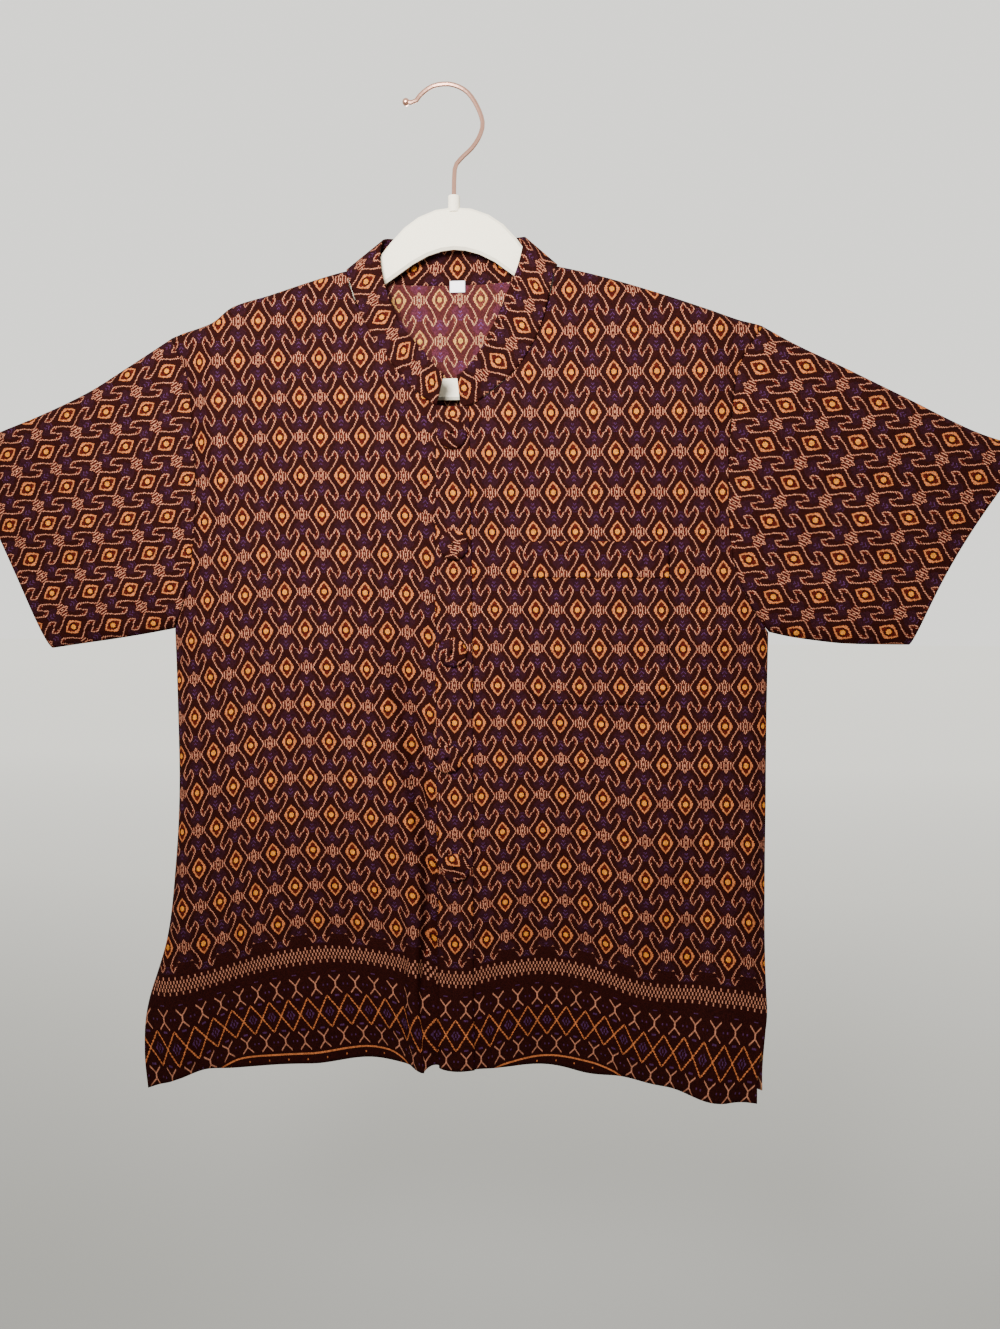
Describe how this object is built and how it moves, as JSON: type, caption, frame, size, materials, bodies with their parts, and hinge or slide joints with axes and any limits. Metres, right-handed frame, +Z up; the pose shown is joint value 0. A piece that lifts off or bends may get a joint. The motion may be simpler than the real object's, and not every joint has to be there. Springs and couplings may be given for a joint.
{
  "type": "silk shirt on a hanger",
  "caption": "Short-sleeved silk shirt in a traditional tie-dyed hook-and-diamond weave, with a stand collar, covered buttons and a chest pocket, hanging on a slim velvet hanger.",
  "frame": {"origin": "the inside top of the hanger's hook, where a rail or wall hook carries it", "axes": "+Z up, +X towards the wearer's left across the shoulders, the buttoned front faces -Y"},
  "size_m": [0.9218, 0.0615, 0.8757],
  "materials": {
    "silk": "woven silk, soft sheen, tie-dyed hooks and diamonds on a dark ground",
    "silk_band": "the same woven silk, interfaced",
    "white_tape": "plain white woven tape",
    "ivory_velvet": "slim plastic core flocked with ivory velvet",
    "rose_gold_wire": "polished rose-gold plated steel wire"
  },
  "bodies": {
    "root": {"front_right": "silk", "front_left": "silk", "back": "silk", "sleeve_right": "silk", "sleeve_left": "silk", "collar": "silk_band", "placket": "silk_band", "pocket": "silk_band", "pocket_band": "silk_band", "button_1": "silk_band", "button_2": "silk_band", "button_3": "silk_band", "button_4": "silk_band", "button_5": "silk_band", "neck_label": "white_tape", "hanger_body": "ivory_velvet", "hanger_hook": "rose_gold_wire"}
  },
  "joints": []
}
